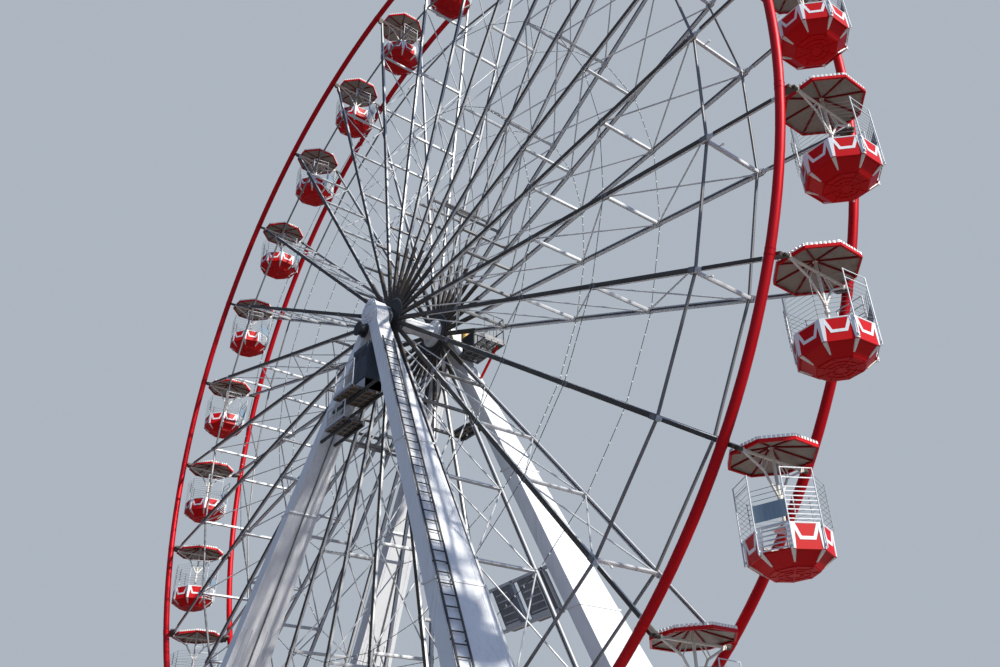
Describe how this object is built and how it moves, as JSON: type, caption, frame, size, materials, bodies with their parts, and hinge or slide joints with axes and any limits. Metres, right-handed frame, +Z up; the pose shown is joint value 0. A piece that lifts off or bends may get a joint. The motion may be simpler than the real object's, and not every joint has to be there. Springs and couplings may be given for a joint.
{
  "type": "ferris wheel",
  "caption": "Transportable observation wheel with red rims, umbrella-topped open cabins that hang level, and four white box-section legs on a ground frame.",
  "frame": {"origin": "on the ground, under the middle of the hub", "axes": "+Z up, the wheel's axle along Y, +X to the right as seen from the near side"},
  "size_m": [34.6358, 7.42, 36.6325],
  "materials": {
    "red_paint": "gloss red paint, slightly weathered",
    "white_paint": "semi-gloss white paint with rain streaks",
    "galvanised_steel": "dull galvanised steel",
    "dark_steel": "dark grating and plate",
    "deck_plate": "scuffed tread plate"
  },
  "bodies": {
    "support": {"near_left_leg": "white_paint", "near_right_leg": "white_paint", "near_bearing": "white_paint", "far_left_leg": "white_paint", "far_right_leg": "white_paint", "far_bearing": "white_paint", "near_service_platform": "dark_steel", "near_lower_platform": "dark_steel", "far_service_platform": "dark_steel", "near_cabinet": "dark_steel", "far_drive_balcony": "dark_steel", "far_equipment_rack": "dark_steel", "leg_ladder": "galvanised_steel", "near_base_beam": "white_paint", "far_base_beam": "white_paint", "left_cross_beam": "white_paint", "right_cross_beam": "white_paint", "boarding_platform": "deck_plate", "near_deck_railing": "deck_plate", "far_deck_railing": "deck_plate", "left_stair": "deck_plate", "right_stair": "deck_plate"},
    "wheel": {"hub_shaft": "white_paint", "near_spokes": "galvanised_steel", "far_spokes": "galvanised_steel", "near_rim": "red_paint", "far_rim": "red_paint", "cross_bar_ring": "galvanised_steel"},
    "cabin_01": {"cabin_01": "red_paint"},
    "cabin_02": {"cabin_02": "red_paint"},
    "cabin_03": {"cabin_03": "red_paint"},
    "cabin_04": {"cabin_04": "red_paint"},
    "cabin_05": {"cabin_05": "red_paint"},
    "cabin_06": {"cabin_06": "red_paint"},
    "cabin_07": {"cabin_07": "red_paint"},
    "cabin_08": {"cabin_08": "red_paint"},
    "cabin_09": {"cabin_09": "red_paint"},
    "cabin_10": {"cabin_10": "red_paint"},
    "cabin_11": {"cabin_11": "red_paint"},
    "cabin_12": {"cabin_12": "red_paint"},
    "cabin_13": {"cabin_13": "red_paint"},
    "cabin_14": {"cabin_14": "red_paint"},
    "cabin_15": {"cabin_15": "red_paint"},
    "cabin_16": {"cabin_16": "red_paint"},
    "cabin_17": {"cabin_17": "red_paint"},
    "cabin_18": {"cabin_18": "red_paint"},
    "cabin_19": {"cabin_19": "red_paint"},
    "cabin_20": {"cabin_20": "red_paint"},
    "cabin_21": {"cabin_21": "red_paint"},
    "cabin_22": {"cabin_22": "red_paint"},
    "cabin_23": {"cabin_23": "red_paint"},
    "cabin_24": {"cabin_24": "red_paint"},
    "cabin_25": {"cabin_25": "red_paint"},
    "cabin_26": {"cabin_26": "red_paint"},
    "cabin_27": {"cabin_27": "red_paint"}
  },
  "joints": [
    {"name": "wheel_spin", "type": "hinge", "parent": "support", "child": "wheel", "pos_m": [0, 0, 19.9], "axis": [0, 1, 0], "continuous": true},
    {"name": "cabin_01_level", "type": "hinge", "parent": "wheel", "child": "cabin_01", "pos_m": [16.27057, 0, 17.15797], "axis": [0, 1, 0], "continuous": true},
    {"name": "cabin_02_level", "type": "hinge", "parent": "wheel", "child": "cabin_02", "pos_m": [16.46435, 0, 20.98413], "axis": [0, 1, 0], "continuous": true},
    {"name": "cabin_03_level", "type": "hinge", "parent": "wheel", "child": "cabin_03", "pos_m": [15.77053, 0, 24.75185], "axis": [0, 1, 0], "continuous": true},
    {"name": "cabin_04_level", "type": "hinge", "parent": "wheel", "child": "cabin_04", "pos_m": [14.22652, 0, 28.258], "axis": [0, 1, 0], "continuous": true},
    {"name": "cabin_05_level", "type": "hinge", "parent": "wheel", "child": "cabin_05", "pos_m": [11.91555, 0, 31.31357], "axis": [0, 1, 0], "continuous": true},
    {"name": "cabin_06_level", "type": "hinge", "parent": "wheel", "child": "cabin_06", "pos_m": [8.96222, 0, 33.75383], "axis": [0, 1, 0], "continuous": true},
    {"name": "cabin_07_level", "type": "hinge", "parent": "wheel", "child": "cabin_07", "pos_m": [5.52573, 0, 35.44723], "axis": [0, 1, 0], "continuous": true},
    {"name": "cabin_08_level", "type": "hinge", "parent": "wheel", "child": "cabin_08", "pos_m": [1.79134, 0, 36.30247], "axis": [0, 1, 0], "continuous": true},
    {"name": "cabin_09_level", "type": "hinge", "parent": "wheel", "child": "cabin_09", "pos_m": [-2.03961, 0, 36.27345], "axis": [0, 1, 0], "continuous": true},
    {"name": "cabin_10_level", "type": "hinge", "parent": "wheel", "child": "cabin_10", "pos_m": [-5.76061, 0, 35.36174], "axis": [0, 1, 0], "continuous": true},
    {"name": "cabin_11_level", "type": "hinge", "parent": "wheel", "child": "cabin_11", "pos_m": [-9.17106, 0, 33.61648], "axis": [0, 1, 0], "continuous": true},
    {"name": "cabin_12_level", "type": "hinge", "parent": "wheel", "child": "cabin_12", "pos_m": [-12.08709, 0, 31.13175], "axis": [0, 1, 0], "continuous": true},
    {"name": "cabin_13_level", "type": "hinge", "parent": "wheel", "child": "cabin_13", "pos_m": [-14.3515, 0, 28.04153], "axis": [0, 1, 0], "continuous": true},
    {"name": "cabin_14_level", "type": "hinge", "parent": "wheel", "child": "cabin_14", "pos_m": [-15.84222, 0, 24.51239], "axis": [0, 1, 0], "continuous": true},
    {"name": "cabin_15_level", "type": "hinge", "parent": "wheel", "child": "cabin_15", "pos_m": [-16.47888, 0, 20.73459], "axis": [0, 1, 0], "continuous": true},
    {"name": "cabin_16_level", "type": "hinge", "parent": "wheel", "child": "cabin_16", "pos_m": [-16.22716, 0, 16.9118], "axis": [0, 1, 0], "continuous": true},
    {"name": "cabin_17_level", "type": "hinge", "parent": "wheel", "child": "cabin_17", "pos_m": [-15.10063, 0, 13.25011], "axis": [0, 1, 0], "continuous": true},
    {"name": "cabin_18_level", "type": "hinge", "parent": "wheel", "child": "cabin_18", "pos_m": [-13.16002, 0, 9.94692], "axis": [0, 1, 0], "continuous": true},
    {"name": "cabin_19_level", "type": "hinge", "parent": "wheel", "child": "cabin_19", "pos_m": [-10.50995, 0, 7.18029], "axis": [0, 1, 0], "continuous": true},
    {"name": "cabin_20_level", "type": "hinge", "parent": "wheel", "child": "cabin_20", "pos_m": [-7.29329, 0, 5.09939], "axis": [0, 1, 0], "continuous": true},
    {"name": "cabin_21_level", "type": "hinge", "parent": "wheel", "child": "cabin_21", "pos_m": [-3.68344, 0, 3.8164], "axis": [0, 1, 0], "continuous": true},
    {"name": "cabin_22_level", "type": "hinge", "parent": "wheel", "child": "cabin_22", "pos_m": [0.12498, 0, 3.40047], "axis": [0, 1, 0], "continuous": true},
    {"name": "cabin_23_level", "type": "hinge", "parent": "wheel", "child": "cabin_23", "pos_m": [3.92667, 0, 3.87404], "axis": [0, 1, 0], "continuous": true},
    {"name": "cabin_24_level", "type": "hinge", "parent": "wheel", "child": "cabin_24", "pos_m": [7.51666, 0, 5.21158], "axis": [0, 1, 0], "continuous": true},
    {"name": "cabin_25_level", "type": "hinge", "parent": "wheel", "child": "cabin_25", "pos_m": [10.70143, 0, 7.34097], "axis": [0, 1, 0], "continuous": true},
    {"name": "cabin_26_level", "type": "hinge", "parent": "wheel", "child": "cabin_26", "pos_m": [13.30929, 0, 10.14742], "axis": [0, 1, 0], "continuous": true},
    {"name": "cabin_27_level", "type": "hinge", "parent": "wheel", "child": "cabin_27", "pos_m": [15.19963, 0, 13.47963], "axis": [0, 1, 0], "continuous": true}
  ],
  "couplings": [
    {"joint": "cabin_01_level", "follows": "wheel_spin", "ratio": -1},
    {"joint": "cabin_02_level", "follows": "wheel_spin", "ratio": -1},
    {"joint": "cabin_03_level", "follows": "wheel_spin", "ratio": -1},
    {"joint": "cabin_04_level", "follows": "wheel_spin", "ratio": -1},
    {"joint": "cabin_05_level", "follows": "wheel_spin", "ratio": -1},
    {"joint": "cabin_06_level", "follows": "wheel_spin", "ratio": -1},
    {"joint": "cabin_07_level", "follows": "wheel_spin", "ratio": -1},
    {"joint": "cabin_08_level", "follows": "wheel_spin", "ratio": -1},
    {"joint": "cabin_09_level", "follows": "wheel_spin", "ratio": -1},
    {"joint": "cabin_10_level", "follows": "wheel_spin", "ratio": -1},
    {"joint": "cabin_11_level", "follows": "wheel_spin", "ratio": -1},
    {"joint": "cabin_12_level", "follows": "wheel_spin", "ratio": -1},
    {"joint": "cabin_13_level", "follows": "wheel_spin", "ratio": -1},
    {"joint": "cabin_14_level", "follows": "wheel_spin", "ratio": -1},
    {"joint": "cabin_15_level", "follows": "wheel_spin", "ratio": -1},
    {"joint": "cabin_16_level", "follows": "wheel_spin", "ratio": -1},
    {"joint": "cabin_17_level", "follows": "wheel_spin", "ratio": -1},
    {"joint": "cabin_18_level", "follows": "wheel_spin", "ratio": -1},
    {"joint": "cabin_19_level", "follows": "wheel_spin", "ratio": -1},
    {"joint": "cabin_20_level", "follows": "wheel_spin", "ratio": -1},
    {"joint": "cabin_21_level", "follows": "wheel_spin", "ratio": -1},
    {"joint": "cabin_22_level", "follows": "wheel_spin", "ratio": -1},
    {"joint": "cabin_23_level", "follows": "wheel_spin", "ratio": -1},
    {"joint": "cabin_24_level", "follows": "wheel_spin", "ratio": -1},
    {"joint": "cabin_25_level", "follows": "wheel_spin", "ratio": -1},
    {"joint": "cabin_26_level", "follows": "wheel_spin", "ratio": -1},
    {"joint": "cabin_27_level", "follows": "wheel_spin", "ratio": -1}
  ]
}
